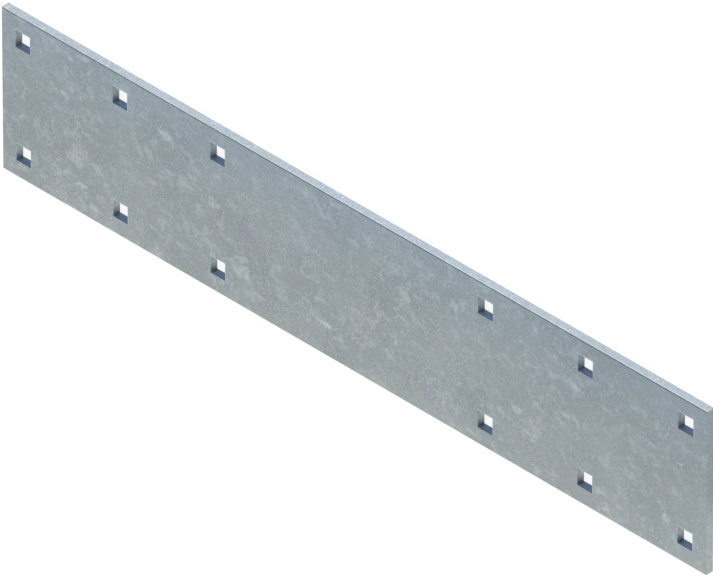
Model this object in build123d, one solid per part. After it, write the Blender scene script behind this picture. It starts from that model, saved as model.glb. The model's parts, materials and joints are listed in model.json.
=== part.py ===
from build123d import *
import math
import os

# A mending plate, which ties two members together end to end. It is a length of flat bar
# with a group of square holes towards each end, punched for the square necks of 1/2 inch
# carriage bolts, and dipped in zinc. It lies flat, with X along its length, Y across its
# width and Z up through its thickness. The origin is at the centre of its back face. The
# bolt heads sit on its front face, on top, which is the side that the punch went in.
# Sizes are in millimetres.

# Flat bar, cut to length
plate_length = 635.0         # 25 inches
plate_width = 127.0          # 5 inches
plate_thickness = 6.35       # 1/4 inch
rolled_edge_radius = 0.5     # the mill leaves the long edges a little round
cut_edge_radius = 0.3        # the cut ends are filed, then rounded by the zinc

# Square holes, in rows along the plate
holes_per_group = 3
column_pitch = 88.9          # 3 1/2 inches from hole to hole in a group
end_distance = 19.05         # 3/4 inch from the plate's end to the centre of the first hole
side_distance = 19.05        # 3/4 inch from its long edge to the centre of a row
hole_size = 13.0             # across the flats, where the punch goes in

# Wall of a punched hole, from the front face down
roll_over_radius = 0.3       # the rim, which the punch draws in
sheared_share = 0.35         # of the thickness, cut clean and straight before the rest tears
break_out = 0.3              # how far the torn wall has opened on each side at the back


def flat_bar():
    """The bar with its four long edges rounded by the mill and its two ends cut and filed."""
    with BuildPart() as bar:
        with BuildSketch():
            Rectangle(plate_length, plate_width)
        extrude(amount=plate_thickness)
        fillet(bar.edges().filter_by(Axis.X), radius=rolled_edge_radius)
        ends = bar.faces().sort_by(Axis.X)
        fillet(ends[0].edges() + ends[-1].edges(), radius=cut_edge_radius)
    return bar.part


def punched_space():
    """What the punch takes out, standing on the origin: the torn wall, which narrows upwards
    from the back, and above it the straight wall that was cut clean."""
    sheared_depth = sheared_share * plate_thickness
    torn_depth = plate_thickness - sheared_depth
    torn_size = hole_size + 2 * break_out
    torn_angle = math.degrees(math.atan2(break_out, torn_depth))
    with BuildPart() as space:
        with BuildSketch():
            Rectangle(torn_size, torn_size)
        extrude(amount=torn_depth, taper=torn_angle)
        extrude(space.faces().sort_by(Axis.Z)[-1], amount=sheared_depth)
    return space.part


def hole_centres():
    """The centre of every hole. The groups are set out from the plate's two ends, and the
    rows from its two long edges."""
    outer_column = plate_length / 2 - end_distance
    row = plate_width / 2 - side_distance
    return [
        (end * (outer_column - place * column_pitch), side * row)
        for end in (-1, 1)
        for place in range(holes_per_group)
        for side in (-1, 1)
    ]


def mending_plate():
    """The bar, punched at every centre, with the rims on its front face drawn in."""
    with BuildPart() as plate:
        add(flat_bar())
        with Locations(*hole_centres()):
            add(punched_space(), mode=Mode.SUBTRACT)
        front_face = plate.faces().filter_by(Axis.Z).sort_by(Axis.Z)[-1]
        rims = [edge for rim in front_face.inner_wires() for edge in rim.edges()]
        fillet(rims, radius=roll_over_radius)
    return plate.part


os.makedirs("parts", exist_ok=True)
export_step(mending_plate(), "parts/mending_plate.step")
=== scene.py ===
import json
import math

import bpy
import numpy as np
from bpy.props import FloatProperty, FloatVectorProperty, PointerProperty, StringProperty
from bpy.types import Operator, Panel, PropertyGroup
from mathutils import Matrix, Vector


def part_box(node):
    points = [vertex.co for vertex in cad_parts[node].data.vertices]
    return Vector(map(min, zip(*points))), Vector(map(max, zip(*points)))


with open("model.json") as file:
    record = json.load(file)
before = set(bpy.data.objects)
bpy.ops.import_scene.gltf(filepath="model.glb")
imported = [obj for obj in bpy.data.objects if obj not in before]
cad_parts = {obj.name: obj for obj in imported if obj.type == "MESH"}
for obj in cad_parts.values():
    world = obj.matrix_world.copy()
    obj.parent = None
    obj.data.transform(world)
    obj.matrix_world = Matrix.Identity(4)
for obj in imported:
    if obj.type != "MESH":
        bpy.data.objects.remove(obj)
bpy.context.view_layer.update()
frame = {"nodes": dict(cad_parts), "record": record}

bl_info = {
    "name": "Galvanised mending plate",
    "version": (1, 0, 0),
    "blender": (4, 5, 0),
    "location": "View3D > Sidebar > Mending plate",
    "description": "Coats a punched steel mending plate in hot-dip zinc and sets it on a pale stage",
    "category": "Object",
}

MM = 0.001

PLATE_NODE = "mending_plate"
PLATE_LOW, PLATE_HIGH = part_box(PLATE_NODE)
PLATE_CENTRE = (PLATE_LOW + PLATE_HIGH) / 2

# Where the punched holes are: columns out from the middle, and one row each side of it.
HOLES = np.abs([mount["pos_m"] for mount in frame["record"]["mounts"] if "_hole_" in mount["name"]])
COLUMNS = np.unique(HOLES[:, 0].round(6))
FIRST_COLUMN = float(COLUMNS[0])
COLUMN_PITCH = float(COLUMNS[1] - COLUMNS[0])
HOLE_ROW = float(HOLES[0, 1])

# How much of its normal lies along an axis where a surface faces that way, and where it is flat on.
FACES_SIDEWAYS = 0.7
FACES_FLAT_ON = 0.9

# A steep surface this close to the plate's outline is its edge. Further in, it is a hole's wall.
EDGE_BAND = 3.0 * MM

# Towards the +X end the patterns are calmer, the coat is darker and its drift across is stronger.
FAR_FROM = 100.0 * MM
FAR_FULL = 220.0 * MM
FAR_CALM = 0.14
FAR_TILT = 0.07
FAR_SHADE = 0.015

# How much each pattern lightens the coat where it is 1, with a minus where it darkens, and its mean.
FINE_FROST = (0.475, 0.03)
COARSE_FROST = (0.03, 0.03)
THIN_STROKES = (0.265, 0.025)
BROAD_SMEARS = (0.205, 0.1)
CLOUDS = (0.15, 0.2)
PATCHES = (0.05, 0.5)
DRIFT = (0.17, 0.5)
PITS = (-0.35, 0.0)

# How weak and how strong the crystals and the pale runs are in different parts of the coat, and the
# seeds of the two noises that say where.
FINE_SHARE = (0.75, 1.25)
COARSE_SHARE = (0.2, 1.8)
BUSY_SHARE = (0.7, 1.3)
FROST_SEED = 15.0
BUSY_SEED = 12.0

# Most values of a soft noise lie between these two.
NOISE_LOW = 0.42
NOISE_HIGH = 0.58

# A crystal's random value lies mostly between the first two, and is spread from the third up to 1.
CRYSTAL_SPREAD = (0.1, 0.95, -0.8)

# A cloud begins where its noise passes the first value, and is whole at the second.
CLOUD_FADE = (0.53, 0.66)

# The narrow sides have crisper grain and fainter patches than the faces.
SIDE_GRAIN = 1.25
SIDE_PATCHES = 0.4

PIT_RADIUS = 0.84 * MM
PIT_HEART = 0.43 * MM

# How far the hue wanders from patch to patch, in red, green and blue.
TINT_SWING = (0.06, 0.06, 0.1)

# How high the pattern stands as a bump.
RELIEF = 0.05 * MM

# The painted highlight on a hole's rim, measured from the hole's centre.
HIGHLIGHT_OUT = 6.95 * MM
HIGHLIGHT_HALF_WIDTH = 0.45 * MM
HIGHLIGHT_HALF_LENGTH = 7.0 * MM
HIGHLIGHT_BESIDE = 0.5

# The painted shade line along the +Y arris: how far in from the edge its middle lies, and its half width.
ARRIS_INSET = 0.85 * MM
ARRIS_HALF_WIDTH = 0.65 * MM

# Over these stretches a cut end turns from its lower to its upper tone, and a hole's wall from the
# painted shade of its corner to its own tone. Those of the walls are measured from the hole's centre.
END_TURN = (-35.0 * MM, 0.0)
END_WALL_CLEARS = (-6.5 * MM, 0.5 * MM)
LONG_WALL_CLEARS = (-7.0 * MM, -1.5 * MM)

# Painted shade on the walls that face across: darker towards the front, and once more at the drawn-in
# lip. Each row has two heights above the back face, and the shade at each.
LONG_WALL_PAINTED_SHADES = (
    (1.0 * MM, 6.0 * MM, 1.2, 0.7),
    (5.5 * MM, 6.1 * MM, 1.0, 0.6),
)

# Where the floor is seen, this much of it still takes shadow, and this much light is added to it.
FLOOR_SHADED = 0.24
FLOOR_LIFT = 0.82
FLOOR_HALF_SIDE = 3.0
FLOOR_GAP = 0.1 * MM

KEY_LAMP_PLACE = Vector((0.0, 2.0, 0.45))
KEY_LAMP_SIZE = (2.0, 0.6)
SENSOR_WIDTH_MM = 36.0
WHITE = (1.0, 1.0, 1.0, 1.0)


def linear(hex_colour):
    """The linear colour of an sRGB hex value such as "98A2A6"."""
    srgb = np.array([int(hex_colour[i:i + 2], 16) for i in (0, 2, 4)]) / 255
    channels = np.where(srgb <= 0.04045, srgb / 12.92, ((srgb + 0.055) / 1.055) ** 2.4)
    return (*channels.tolist(), 1.0)


def add_node(tree, kind, inputs=None, **settings):
    """Adds a node of a kind with its settings. Each input is a value, or the socket to link."""
    node = tree.nodes.new(kind)
    for name, value in settings.items():
        setattr(node, name, value)
    for socket, value in (inputs or {}).items():
        if isinstance(value, bpy.types.NodeSocket):
            tree.links.new(value, node.inputs[socket])
        else:
            node.inputs[socket].default_value = value
    return node


def new_material(name):
    """An empty node material with its output, as (material, tree, output)."""
    material = bpy.data.materials.new(name)
    material.use_nodes = True
    material.node_tree.nodes.clear()
    return material, material.node_tree, material.node_tree.nodes.new("ShaderNodeOutputMaterial")


class ZincFinish(PropertyGroup):
    """Colours and pattern sizes of the zinc coat. The crystals of such a dull coat are really 0.1 to
    0.3 mm wide, and are drawn coarser than that, so that the frost shows in the picture."""

    # The five face tones run from cooler and darker at +Y to lighter and warmer at -Y.
    upper_tone: StringProperty(
        name="Upper tone", description="Zinc along the +Y edge, where the melt ran off first",
        default="92A0A8")
    shoulder_tone: StringProperty(
        name="Shoulder tone", description="Zinc a little below the +Y edge", default="949FA6")
    middle_tone: StringProperty(
        name="Middle tone", description="Zinc along the middle of the face", default="98A1A5")
    low_shoulder_tone: StringProperty(
        name="Low shoulder tone", description="Zinc a little above the -Y edge", default="9AA3A6")
    lower_tone: StringProperty(
        name="Lower tone", description="Zinc along the -Y edge, where the melt ran off last",
        default="9FA7A8")
    end_upper_tone: StringProperty(
        name="Cut end, upper", description="Zinc on the cut ends, towards +Y", default="929DA2")
    end_lower_tone: StringProperty(
        name="Cut end, lower", description="Zinc on the cut ends, towards -Y", default="AAB2B1")
    edge_tone: StringProperty(
        name="Long edges", description="Brighter zinc on the mill's rolled edges", default="97A1A9")
    # The long wall tone is painted shade: the dark blue of the walls that face across in the holes.
    long_wall_shade_tone: StringProperty(
        name="Hole walls, facing across", description="Thin blue zinc in the holes", default="546A88")
    end_wall_tone: StringProperty(
        name="Hole walls, facing along", description="Grey zinc high on these walls", default="9DA8AD")
    low_row_wall_tone: StringProperty(
        name="Hole walls, -Y row", description="The same walls in the row towards -Y", default="AEB8B9")
    # The hole corner tone is painted shade in each hole's low corner.
    corner_shade_tone: StringProperty(
        name="Hole corners", description="Dull dark zinc in each hole's low corner", default="657583")
    frost_tint: StringProperty(
        name="Frost tint", description="Warm cast of the pale patches against the blue-grey coat",
        default="FFF7F5")
    # The rim glow is a painted highlight on each hole's high rims.
    rim_highlight_strength: FloatProperty(
        name="Rim glow", description="How much lighter the zinc bead is on each hole's high rims",
        default=0.42, min=0.0, max=1.0, subtype="FACTOR")
    # The arris shade is painted shade on a thin line along the +Y arris.
    arris_painted_shade_strength: FloatProperty(
        name="Arris shade", description="How much darker the thin zinc is along the +Y arris",
        default=0.72, min=0.0, max=1.0, subtype="FACTOR")
    metallic: FloatProperty(
        name="Metallic", description="Share of bare metal under the dull bloom",
        default=0.7, min=0.0, max=1.0, subtype="FACTOR")
    roughness: FloatProperty(
        name="Roughness", description="Matt frost of the zinc",
        default=0.5, min=0.0, max=1.0, subtype="FACTOR")
    fine_crystal: FloatProperty(
        name="Fine crystals", description="Size of the smallest zinc crystals",
        default=0.6 * MM, min=0.1 * MM, subtype="DISTANCE", unit="LENGTH")
    coarse_crystal: FloatProperty(
        name="Coarse crystals", description="Size of the larger zinc crystals",
        default=1.4 * MM, min=0.1 * MM, subtype="DISTANCE", unit="LENGTH")
    mottle: FloatProperty(
        name="Mottle", description="Small patches that are a little lighter or darker",
        default=5.0 * MM, min=0.1 * MM, subtype="DISTANCE", unit="LENGTH")
    stroke: FloatProperty(
        name="Strokes", description="Width of the cells that hold one thin pale stroke each",
        default=5.5 * MM, min=1.0 * MM, subtype="DISTANCE", unit="LENGTH")
    smear: FloatProperty(
        name="Smears", description="Width of the cells that hold one broad pale smear each",
        default=9.0 * MM, min=1.0 * MM, subtype="DISTANCE", unit="LENGTH")
    cloud: FloatProperty(
        name="Clouds", description="Wide soft light areas",
        default=14.0 * MM, min=1.0 * MM, subtype="DISTANCE", unit="LENGTH")
    pit_spacing: FloatProperty(
        name="Pit spacing", description="Distance between the tiny dark pits",
        default=24.0 * MM, min=1.0 * MM, subtype="DISTANCE", unit="LENGTH")


class StageLook(PropertyGroup):
    """Floor, lamps and camera."""

    floor_colour: StringProperty(name="Floor", description="Pale floor", default="E8E8E8")
    dome_strength: FloatProperty(
        name="Dome", description="Plain white light from all round", default=0.85, min=0.0)
    key_power: FloatProperty(
        name="Key lamp", description="Power of the soft lamp beyond the +Y edge, in W",
        default=60.0, min=0.0)
    lens_mm: FloatProperty(
        name="Lens", description="Long lens, so that parallel edges stay parallel, in mm",
        default=1380.0, min=10.0)
    picture_width: FloatProperty(
        name="Picture width", description="What the picture spans at the plate",
        default=454.5 * MM, min=0.01, subtype="DISTANCE", unit="LENGTH")
    aim: FloatVectorProperty(
        name="Aim", description="Point at the middle of the picture",
        default=(1.25 * MM, -0.6 * MM, 2.5 * MM), subtype="TRANSLATION", unit="LENGTH")


def weighted_sum(tree, layers):
    """Adds up (pattern, weight, mean) layers, each counted from its mean, so the sum swings about 0."""
    total = -sum(weight * mean for _, weight, mean in layers)
    for pattern, weight, _ in layers:
        total = add_node(tree, "ShaderNodeMath", {
            0: pattern, 1: weight, 2: total}, operation="MULTIPLY_ADD").outputs[0]
    return total


def patchy_share(tree, place, size, seed, reach):
    """A share that runs from the first value in reach to the second, in soft patches size wide."""
    noise = add_node(tree, "ShaderNodeTexNoise", {
        "Vector": place, "Scale": 1 / size, "Detail": 1.0, "W": seed}, noise_dimensions="4D")
    return add_node(tree, "ShaderNodeMapRange", {
        "Value": noise.outputs["Fac"], "From Min": NOISE_LOW, "From Max": NOISE_HIGH,
        "To Min": reach[0], "To Max": reach[1]}, interpolation_type="SMOOTHSTEP").outputs["Result"]


def crystals(tree, place, size):
    """Frosted crystals, each with one brightness of its own from -0.5 to 1: the cube keeps most of
    them near 0 and leaves a few bright specks and fewer dark ones."""
    low, high, darkest = CRYSTAL_SPREAD
    cells = add_node(tree, "ShaderNodeTexVoronoi", {"Vector": place, "Scale": 1 / size})
    own = add_node(tree, "ShaderNodeMapRange", {
        "Value": cells.outputs["Color"], "From Min": low, "From Max": high, "To Min": darkest})
    return add_node(tree, "ShaderNodeMath", {
        0: own.outputs["Result"], 1: 3.0}, operation="POWER").outputs[0]


def frosty_grain(tree, place, look):
    """Fine and coarse crystals, about 0, stronger in some patches than in others."""
    layers = []
    for size, reach, layer in (
        (look.fine_crystal, FINE_SHARE, FINE_FROST),
        (look.coarse_crystal, COARSE_SHARE, COARSE_FROST),
    ):
        share = patchy_share(tree, place, 2 * look.smear, FROST_SEED, reach)
        frost = add_node(tree, "ShaderNodeMath", {
            0: crystals(tree, place, size), 1: share}, operation="MULTIPLY")
        layers.append((frost.outputs[0], *layer))
    return weighted_sum(tree, layers)


def strokes(tree, place, seed, width, turn, stretch, bend_size, bend, fade, chosen):
    """Ragged pale strokes, 1 at the heart and 0 around, where the zinc ran before it set. Each lies
    in a cell width wide and stretch times as long, turned from +X by turn degrees, and a noise of
    bend_size sways it within a span of bend. It fades out between the two distances in fade. Only
    cells with a high random value have a stroke: none below the first value in chosen, and a whole
    one from the second."""
    sway = add_node(tree, "ShaderNodeTexNoise", {
        "Vector": place, "Scale": 1 / bend_size, "Detail": 2.0, "W": seed}, noise_dimensions="4D")
    sway = add_node(tree, "ShaderNodeVectorMath", {
        0: sway.outputs["Color"], 1: (0.5, 0.5, 0.5)}, operation="SUBTRACT")
    swayed = add_node(tree, "ShaderNodeVectorMath", {
        0: sway.outputs[0], 1: (bend, bend, bend), 2: place}, operation="MULTIPLY_ADD")
    drawn = add_node(tree, "ShaderNodeMapping", {
        "Vector": swayed.outputs[0], "Location": (seed, 0.0, 0.0),
        "Rotation": (0.0, 0.0, math.radians(turn)), "Scale": (stretch, 1.0, 1.0)}, vector_type="TEXTURE")
    cells = add_node(tree, "ShaderNodeTexVoronoi", {"Vector": drawn.outputs[0], "Scale": 1 / width})
    heart = add_node(tree, "ShaderNodeMapRange", {
        "Value": cells.outputs["Distance"], "From Min": fade[0], "From Max": fade[1]},
        interpolation_type="SMOOTHSTEP")
    rare = add_node(tree, "ShaderNodeMapRange", {
        "Value": cells.outputs["Color"], "From Min": chosen[0], "From Max": chosen[1]})
    return add_node(tree, "ShaderNodeMath", {
        0: heart.outputs["Result"], 1: rare.outputs["Result"]}, operation="MULTIPLY").outputs[0]


def pale_runs(tree, place, look):
    """Thin strokes, broad smears and clouds of pale zinc, about 0, busier in some parts than others."""
    thin = {
        "width": look.stroke, "bend_size": 8 * MM, "bend": 6 * MM,
        "fade": (0.45, 0.27), "chosen": (0.74, 0.93)}
    broad = {
        "width": look.smear, "bend_size": 5 * MM, "bend": 14 * MM,
        "fade": (0.57, 0.13), "chosen": (0.55, 0.88)}
    clouds = add_node(tree, "ShaderNodeTexNoise", {
        "Vector": place, "Scale": 1 / look.cloud, "Detail": 4.0, "Roughness": 0.6, "Distortion": 2.0})
    clouds = add_node(tree, "ShaderNodeMapRange", {
        "Value": clouds.outputs["Fac"], "From Min": CLOUD_FADE[0], "From Max": CLOUD_FADE[1]},
        interpolation_type="SMOOTHSTEP")
    runs = weighted_sum(tree, (
        (strokes(tree, place, seed=1.0, turn=172, stretch=3.4, **thin), *THIN_STROKES),
        (strokes(tree, place, seed=4.0, turn=8, stretch=3.4, **thin), *THIN_STROKES),
        (strokes(tree, place, seed=0.0, turn=165, stretch=2.2, **broad), *BROAD_SMEARS),
        (strokes(tree, place, seed=6.0, turn=118, stretch=1.8, **broad), *BROAD_SMEARS),
        (clouds.outputs["Result"], *CLOUDS),
    ))
    busy = patchy_share(tree, place, 4 * look.cloud, BUSY_SEED, BUSY_SHARE)
    return add_node(tree, "ShaderNodeMath", {0: runs, 1: busy}, operation="MULTIPLY").outputs[0]


def tiny_pits(tree, place, look):
    """1 at the heart of each pit and 0 around it."""
    cells = add_node(tree, "ShaderNodeTexVoronoi", {"Vector": place, "Scale": 1 / look.pit_spacing})
    return add_node(tree, "ShaderNodeMapRange", {
        "Value": cells.outputs["Distance"], "From Min": PIT_RADIUS / look.pit_spacing,
        "From Max": PIT_HEART / look.pit_spacing}).outputs["Result"]


def far_end(tree, place):
    """How strong the patterns are at a place, and how much lighter or darker it is towards +X."""
    at = add_node(tree, "ShaderNodeSeparateXYZ", {"Vector": place})
    far = add_node(tree, "ShaderNodeMapRange", {
        "Value": at.outputs["X"], "From Min": FAR_FROM, "From Max": FAR_FULL},
        interpolation_type="SMOOTHSTEP")
    strength = add_node(tree, "ShaderNodeMath", {
        0: far.outputs["Result"], 1: -FAR_CALM, 2: 1.0}, operation="MULTIPLY_ADD")
    across = add_node(tree, "ShaderNodeMath", {
        0: at.outputs["Y"], 1: -FAR_TILT / PLATE_HIGH.y, 2: -FAR_SHADE}, operation="MULTIPLY_ADD")
    across = add_node(tree, "ShaderNodeMath", {
        0: across.outputs[0], 1: far.outputs["Result"]}, operation="MULTIPLY")
    return strength.outputs[0], across.outputs[0]


def mottling(tree, place, facing, look):
    """How much lighter or darker than its tone the coat is at a place, about 0."""
    patches = add_node(tree, "ShaderNodeTexNoise", {
        "Vector": place, "Scale": 1 / look.mottle, "Detail": 2.0})
    drift = add_node(tree, "ShaderNodeTexNoise", {
        "Vector": place, "Scale": 1 / (4 * look.cloud), "Detail": 1.0})
    strength, across = far_end(tree, place)
    soft = weighted_sum(tree, (
        (across, 1.0, 0.0),
        (pale_runs(tree, place, look), 1.0, 0.0),
        (patches.outputs["Fac"], *PATCHES),
        (drift.outputs["Fac"], *DRIFT),
        (tiny_pits(tree, place, look), *PITS),
    ))

    flat = {"Value": facing.outputs["Z"], "From Min": FACES_SIDEWAYS, "From Max": FACES_FLAT_ON}
    crisp = add_node(tree, "ShaderNodeMapRange", {**flat, "To Min": SIDE_GRAIN, "To Max": 1.0})
    calm = add_node(tree, "ShaderNodeMapRange", {**flat, "To Min": SIDE_PATCHES, "To Max": 1.0})
    grain = add_node(tree, "ShaderNodeMath", {
        0: frosty_grain(tree, place, look), 1: crisp.outputs["Result"]}, operation="MULTIPLY")
    total = add_node(tree, "ShaderNodeMath", {
        0: soft, 1: calm.outputs["Result"], 2: grain.outputs[0]}, operation="MULTIPLY_ADD")
    return add_node(tree, "ShaderNodeMath", {
        0: total.outputs[0], 1: strength}, operation="MULTIPLY").outputs[0]


def from_hole(tree, at, out):
    """How far a point lies from its nearest hole's centre, towards +X and towards +Y."""
    along = add_node(tree, "ShaderNodeMath", {0: out.outputs["X"], 1: FIRST_COLUMN}, operation="SUBTRACT")
    along = add_node(tree, "ShaderNodeMath", {
        0: along.outputs[0], 1: COLUMN_PITCH / 2, 2: -COLUMN_PITCH / 2}, operation="WRAP")
    over = add_node(tree, "ShaderNodeMath", {0: out.outputs["Y"], 1: HOLE_ROW}, operation="SUBTRACT")
    signed = []
    for distance, axis in ((along, "X"), (over, "Y")):
        side = add_node(tree, "ShaderNodeMath", {0: at.outputs[axis]}, operation="SIGN")
        signed.append(add_node(tree, "ShaderNodeMath", {
            0: distance.outputs[0], 1: side.outputs[0]}, operation="MULTIPLY").outputs[0])
    return signed


def rim_highlight(tree, out, along, over):
    """Painted highlight: 1 on a thin line of the front just above each hole, less just beyond its +X
    side, else 0.
    """
    lines = []
    for near, far, strength in ((over, along, 1.0), (along, over, HIGHLIGHT_BESIDE)):
        beside = add_node(tree, "ShaderNodeMath", {
            0: near, 1: HIGHLIGHT_OUT, 2: HIGHLIGHT_HALF_WIDTH}, operation="COMPARE")
        within = add_node(tree, "ShaderNodeMath", {
            0: far, 1: 0.0, 2: HIGHLIGHT_HALF_LENGTH}, operation="COMPARE")
        line = add_node(tree, "ShaderNodeMath", {
            0: beside.outputs[0], 1: within.outputs[0]}, operation="MULTIPLY")
        lines.append(add_node(tree, "ShaderNodeMath", {
            0: line.outputs[0], 1: strength}, operation="MULTIPLY").outputs[0])
    highlight = add_node(tree, "ShaderNodeMath", {0: lines[0], 1: lines[1]}, operation="MAXIMUM")
    by_hole = add_node(tree, "ShaderNodeMath", {
        0: out.outputs["X"], 1: FIRST_COLUMN - COLUMN_PITCH / 2}, operation="GREATER_THAN")
    return add_node(tree, "ShaderNodeMath", {
        0: highlight.outputs[0], 1: by_hole.outputs[0]}, operation="MULTIPLY").outputs[0]


def painted_arris_shade(tree, at, look):
    """How much light the painted shade leaves on the line along the +Y arris, and 1 away from it."""
    inward = add_node(tree, "ShaderNodeMath", {
        0: at.outputs["Y"], 1: PLATE_HIGH.y - ARRIS_INSET}, operation="SUBTRACT")
    inward = add_node(tree, "ShaderNodeMath", {0: inward.outputs[0]}, operation="ABSOLUTE")
    return add_node(tree, "ShaderNodeMapRange", {
        "Value": inward.outputs[0], "From Min": ARRIS_HALF_WIDTH, "From Max": 0.0, "To Min": 1.0,
        "To Max": 1.0 - look.arris_painted_shade_strength}, interpolation_type="SMOOTHSTEP").outputs["Result"]


def face_tone(tree, at, highlight, look):
    """The faces: cool along the +Y edge to warm along the -Y edge, with the painted highlight on the rims
    and the painted shade along the arris.
    """
    width = add_node(tree, "ShaderNodeMapRange", {
        "Value": at.outputs["Y"], "From Min": PLATE_LOW.y, "From Max": PLATE_HIGH.y})
    drift = add_node(tree, "ShaderNodeValToRGB", {"Fac": width.outputs["Result"]})
    stops = drift.color_ramp.elements
    stops[0].color = linear(look.lower_tone)
    stops[1].color = linear(look.upper_tone)
    for position, tone in (
        (0.2, look.low_shoulder_tone),
        (0.5, look.middle_tone),
        (0.84, look.shoulder_tone),
    ):
        stops.new(position).color = linear(tone)
    lit = add_node(tree, "ShaderNodeMath", {
        0: highlight, 1: look.rim_highlight_strength, 2: painted_arris_shade(tree, at, look)}, operation="MULTIPLY_ADD")
    return add_node(tree, "ShaderNodeVectorMath", {
        0: drift.outputs["Color"], "Scale": lit.outputs[0]}, operation="SCALE").outputs[0]


def end_tone(tree, at, look):
    """The cut ends: warm and light towards -Y, cooler and darker towards +Y."""
    turned = add_node(tree, "ShaderNodeMapRange", {
        "Value": at.outputs["Y"], "From Min": END_TURN[0], "From Max": END_TURN[1]},
        interpolation_type="SMOOTHSTEP")
    return add_node(tree, "ShaderNodeMix", {
        "Factor": turned.outputs["Result"], "A": linear(look.end_lower_tone),
        "B": linear(look.end_upper_tone)}, data_type="RGBA").outputs["Result"]


def end_wall_tone(tree, at, over, look):
    """Hole walls that face along the plate: painted shade in the hole's -Y corner, clear and grey above
    it.
    """
    low_row = add_node(tree, "ShaderNodeMath", {0: at.outputs["Y"], 1: 0.0}, operation="LESS_THAN")
    clear = add_node(tree, "ShaderNodeMix", {
        "Factor": low_row.outputs[0], "A": linear(look.end_wall_tone),
        "B": linear(look.low_row_wall_tone)}, data_type="RGBA")
    raised = add_node(tree, "ShaderNodeMapRange", {
        "Value": over, "From Min": END_WALL_CLEARS[0], "From Max": END_WALL_CLEARS[1]})
    return add_node(tree, "ShaderNodeMix", {
        "Factor": raised.outputs["Result"], "A": linear(look.corner_shade_tone), "B": clear.outputs["Result"]},
        data_type="RGBA").outputs["Result"]


def long_wall_shade_tone(tree, at, along, look):
    """Hole walls that face across the plate, all in painted shade: darkest in the hole's -X corner, dark
    blue beyond it, and darker towards the front."""
    sideways = add_node(tree, "ShaderNodeMapRange", {
        "Value": along, "From Min": LONG_WALL_CLEARS[0], "From Max": LONG_WALL_CLEARS[1]})
    wall = add_node(tree, "ShaderNodeMix", {
        "Factor": sideways.outputs["Result"], "A": linear(look.corner_shade_tone),
        "B": linear(look.long_wall_shade_tone)}, data_type="RGBA").outputs["Result"]
    for low, high, low_shade, high_shade in LONG_WALL_PAINTED_SHADES:
        shade = add_node(tree, "ShaderNodeMapRange", {
            "Value": at.outputs["Z"], "From Min": low, "From Max": high,
            "To Min": low_shade, "To Max": high_shade})
        wall = add_node(tree, "ShaderNodeVectorMath", {
            0: wall, "Scale": shade.outputs["Result"]}, operation="SCALE").outputs[0]
    return wall


def inside_hole(tree, out, facing):
    """1 on a steep surface well inside the plate's outline, else 0."""
    inside = add_node(tree, "ShaderNodeMath", {
        0: facing.outputs["Z"], 1: FACES_FLAT_ON}, operation="LESS_THAN").outputs[0]
    for axis, reach in (("X", PLATE_HIGH.x), ("Y", PLATE_HIGH.y)):
        clear = add_node(tree, "ShaderNodeMath", {
            0: out.outputs[axis], 1: reach - EDGE_BAND}, operation="LESS_THAN")
        inside = add_node(tree, "ShaderNodeMath", {
            0: inside, 1: clear.outputs[0]}, operation="MULTIPLY").outputs[0]
    return inside


def zinc_tone(tree, place, facing, look):
    """The coat's colour before its mottling, from where a point lies and which way it faces, with painted
    shade in the holes and along the +Y arris and a painted highlight on the hole rims.
    """
    at = add_node(tree, "ShaderNodeSeparateXYZ", {"Vector": place})
    out = add_node(tree, "ShaderNodeVectorMath", {0: place}, operation="ABSOLUTE")
    out = add_node(tree, "ShaderNodeSeparateXYZ", {"Vector": out.outputs[0]})
    along, over = from_hole(tree, at, out)

    on_end = add_node(tree, "ShaderNodeMath", {
        0: facing.outputs["X"], 1: FACES_SIDEWAYS}, operation="GREATER_THAN")
    outside = add_node(tree, "ShaderNodeMix", {
        "Factor": on_end.outputs[0], "A": face_tone(tree, at, rim_highlight(tree, out, along, over), look),
        "B": end_tone(tree, at, look)}, data_type="RGBA")
    on_edge = add_node(tree, "ShaderNodeMath", {
        0: facing.outputs["Y"], 1: FACES_SIDEWAYS}, operation="GREATER_THAN")
    outside = add_node(tree, "ShaderNodeMix", {
        "Factor": on_edge.outputs[0], "A": outside.outputs["Result"], "B": linear(look.edge_tone)},
        data_type="RGBA")

    faces_across = add_node(tree, "ShaderNodeMath", {
        0: facing.outputs["Y"], 1: facing.outputs["X"]}, operation="GREATER_THAN")
    wall = add_node(tree, "ShaderNodeMix", {
        "Factor": faces_across.outputs[0], "A": end_wall_tone(tree, at, over, look),
        "B": long_wall_shade_tone(tree, at, along, look)}, data_type="RGBA")
    return add_node(tree, "ShaderNodeMix", {
        "Factor": inside_hole(tree, out, facing), "A": outside.outputs["Result"],
        "B": wall.outputs["Result"]}, data_type="RGBA").outputs["Result"]


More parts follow.
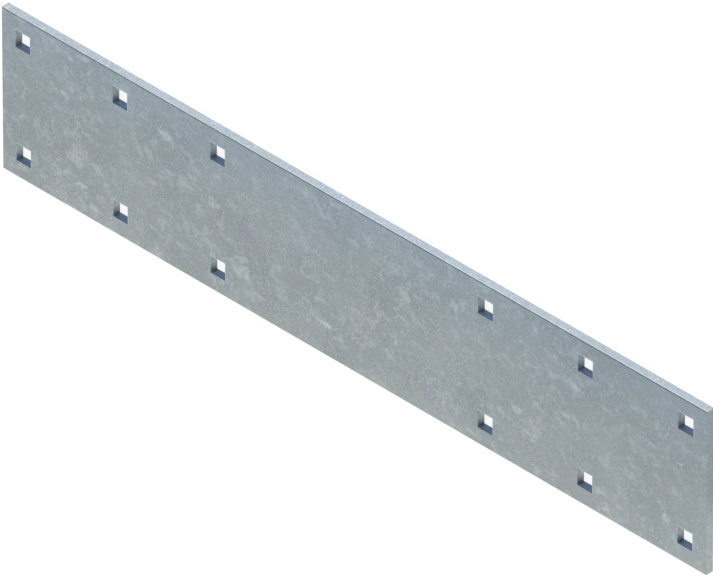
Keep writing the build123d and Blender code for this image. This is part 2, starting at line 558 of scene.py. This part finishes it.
def zinc_material(look):
    """Hot-dip galvanised steel: dull zinc grey metal that cooled from the melt. To the eye it is
    matt, with a fine frosty grain, pale strokes, smears and clouds where the zinc ran, faint warm
    and cool tints, and a cool to warm drift across the plate."""
    material, tree, output = new_material("hot_dip_galvanised_steel")
    place = add_node(tree, "ShaderNodeTexCoord").outputs["Object"]
    facing = add_node(tree, "ShaderNodeVectorMath", {
        0: add_node(tree, "ShaderNodeNewGeometry").outputs["Normal"]}, operation="ABSOLUTE")
    facing = add_node(tree, "ShaderNodeSeparateXYZ", {"Vector": facing.outputs[0]})
    pattern = mottling(tree, place, facing, look)
    tints = add_node(tree, "ShaderNodeTexNoise", {
        "Vector": place, "Scale": 1 / (2 * look.mottle), "Detail": 1.0})
    tints = add_node(tree, "ShaderNodeVectorMath", {
        0: tints.outputs["Color"], 1: TINT_SWING, 2: [1 - swing / 2 for swing in TINT_SWING]},
        operation="MULTIPLY_ADD")
    light = add_node(tree, "ShaderNodeVectorMath", {
        0: pattern, 1: linear(look.frost_tint)[:3], 2: tints.outputs[0]}, operation="MULTIPLY_ADD")
    colour = add_node(tree, "ShaderNodeVectorMath", {
        0: zinc_tone(tree, place, facing, look), 1: light.outputs[0]}, operation="MULTIPLY")
    bump = add_node(tree, "ShaderNodeBump", {"Height": pattern, "Strength": 1.0, "Distance": RELIEF})
    shader = add_node(tree, "ShaderNodeBsdfPrincipled", {
        "Base Color": colour.outputs[0], "Metallic": look.metallic, "Roughness": look.roughness,
        "Normal": bump.outputs[0]})
    tree.links.new(shader.outputs["BSDF"], output.inputs["Surface"])
    return material


def white_for_sight(tree):
    """1 for what the camera sees, straight or in a reflection or through glass, else 0."""
    path = add_node(tree, "ShaderNodeLightPath")
    seen = add_node(tree, "ShaderNodeMath", {
        0: path.outputs["Is Camera Ray"], 1: path.outputs["Is Glossy Ray"]}, operation="MAXIMUM")
    return add_node(tree, "ShaderNodeMath", {
        0: seen.outputs[0], 1: path.outputs["Is Transmission Ray"]}, operation="MAXIMUM").outputs[0]


def floor_material(look):
    """Matt paper floor: pale, lit by the lamps, and lifted to white where it is seen, so that only
    the plate's contact shadow stays."""
    material, tree, output = new_material("pale_paper_floor")
    paper = add_node(tree, "ShaderNodeBsdfDiffuse", {"Color": linear(look.floor_colour)})
    shaded = add_node(tree, "ShaderNodeBsdfDiffuse", {
        "Color": (FLOOR_SHADED, FLOOR_SHADED, FLOOR_SHADED, 1.0)})
    lift = add_node(tree, "ShaderNodeEmission", {"Color": WHITE, "Strength": FLOOR_LIFT})
    lifted = add_node(tree, "ShaderNodeAddShader", {0: shaded.outputs[0], 1: lift.outputs[0]})
    mixed = add_node(tree, "ShaderNodeMixShader", {
        0: white_for_sight(tree), 1: paper.outputs[0], 2: lifted.outputs[0]})
    tree.links.new(mixed.outputs[0], output.inputs["Surface"])
    return material


def floor_mesh(half_side, height):
    """A flat square: x and y each run over [-half_side, half_side] in two steps, and z is height."""
    steps = np.linspace(-half_side, half_side, 3)
    x, y = np.meshgrid(steps, steps)
    corners = np.stack([x.ravel(), y.ravel(), np.full(x.size, height)], axis=1)
    first = np.array([0, 1, 3, 4])[:, None]
    faces = first + np.array([0, 1, 4, 3])
    mesh = bpy.data.meshes.new("floor")
    mesh.from_pydata(corners.tolist(), [], faces.tolist())
    mesh.update()
    return mesh


class MENDING_PLATE_OT_coat(Operator):
    """Coats the punched bar in hot-dip zinc"""

    bl_idname = "mending_plate.coat"
    bl_label = "Coat the plate"

    def execute(self, context):
        plate = frame["nodes"].get(PLATE_NODE)
        if plate is None:
            raise RuntimeError("the packed model has no plate")
        plate.data.materials.clear()
        plate.data.materials.append(zinc_material(context.scene.mending_plate_zinc))
        return {"FINISHED"}


class MENDING_PLATE_OT_stage(Operator):
    """Makes the floor, the lamps, the white surround and the camera"""

    bl_idname = "mending_plate.stage"
    bl_label = "Set the stage"

    def execute(self, context):
        look = context.scene.mending_plate_stage
        self.lay_floor(context, look)
        self.light_dome(context, look)
        self.hang_key_lamp(context, look)
        self.place_camera(context, look)
        context.scene.view_settings.view_transform = "Standard"
        return {"FINISHED"}

    def lay_floor(self, context, look):
        """The floor, a hair below the plate's back face, so that the two don't share a plane."""
        floor = bpy.data.objects.new("floor", floor_mesh(FLOOR_HALF_SIDE, PLATE_LOW.z - FLOOR_GAP))
        floor.data.materials.append(floor_material(look))
        context.scene.collection.objects.link(floor)

    def light_dome(self, context, look):
        """Even light from all round, and plain white where the surround is seen."""
        world = bpy.data.worlds.new("white_surround")
        world.use_nodes = True
        tree = world.node_tree
        tree.nodes.clear()
        light = add_node(tree, "ShaderNodeBackground", {"Color": WHITE, "Strength": look.dome_strength})
        white = add_node(tree, "ShaderNodeBackground", {"Color": WHITE, "Strength": 1.0})
        mixed = add_node(tree, "ShaderNodeMixShader", {
            0: white_for_sight(tree), 1: light.outputs[0], 2: white.outputs[0]})
        add_node(tree, "ShaderNodeOutputWorld", {"Surface": mixed.outputs[0]})
        context.scene.world = world

    def hang_key_lamp(self, context, look):
        """A wide soft lamp, low beyond the +Y edge, aimed at the plate."""
        data = bpy.data.lights.new("key_lamp", "AREA")
        data.shape = "RECTANGLE"
        data.size, data.size_y = KEY_LAMP_SIZE
        data.energy = look.key_power
        lamp = bpy.data.objects.new("key_lamp", data)
        lamp.matrix_world = Matrix.Translation(KEY_LAMP_PLACE) @ (
            (PLATE_CENTRE - KEY_LAMP_PLACE).to_track_quat("-Z", "Y").to_matrix().to_4x4())
        lamp.visible_camera = False
        context.scene.collection.objects.link(lamp)

    def place_camera(self, context, look):
        """An isometric view, turned so that the plate's width stands upright in the picture."""
        back = Vector((1.0, 1.0, 1.0)).normalized()
        right = Vector((0.0, 1.0, 0.0)).cross(back).normalized()
        up = back.cross(right)
        distance = look.lens_mm / SENSOR_WIDTH_MM * look.picture_width
        data = bpy.data.cameras.new("camera")
        data.sensor_width = SENSOR_WIDTH_MM
        data.lens = look.lens_mm
        data.clip_end = 3 * distance
        camera = bpy.data.objects.new("camera", data)
        turn = Matrix((right, up, back)).transposed().to_4x4()
        camera.matrix_world = Matrix.Translation(Vector(look.aim) + distance * back) @ turn
        context.scene.collection.objects.link(camera)
        context.scene.camera = camera


class MENDING_PLATE_PT_panel(Panel):
    """Lists the sizes and colours, with a button for each step"""

    bl_label = "Mending plate"
    bl_idname = "MENDING_PLATE_PT_panel"
    bl_space_type = "VIEW_3D"
    bl_region_type = "UI"
    bl_category = "Mending plate"

    def draw(self, context):
        for group, step in (
            (context.scene.mending_plate_zinc, MENDING_PLATE_OT_coat),
            (context.scene.mending_plate_stage, MENDING_PLATE_OT_stage),
        ):
            box = self.layout.box()
            for name in type(group).__annotations__:
                box.prop(group, name)
            box.operator(step.bl_idname)


CLASSES = (ZincFinish, StageLook, MENDING_PLATE_OT_coat, MENDING_PLATE_OT_stage, MENDING_PLATE_PT_panel)


def register():
    for each in CLASSES:
        bpy.utils.register_class(each)
    bpy.types.Scene.mending_plate_zinc = PointerProperty(type=ZincFinish)
    bpy.types.Scene.mending_plate_stage = PointerProperty(type=StageLook)


def unregister():
    del bpy.types.Scene.mending_plate_stage
    del bpy.types.Scene.mending_plate_zinc
    for each in reversed(CLASSES):
        bpy.utils.unregister_class(each)


def main():
    register()
    bpy.ops.mending_plate.coat()
    bpy.ops.mending_plate.stage()


if __name__ == "__main__":
    main()
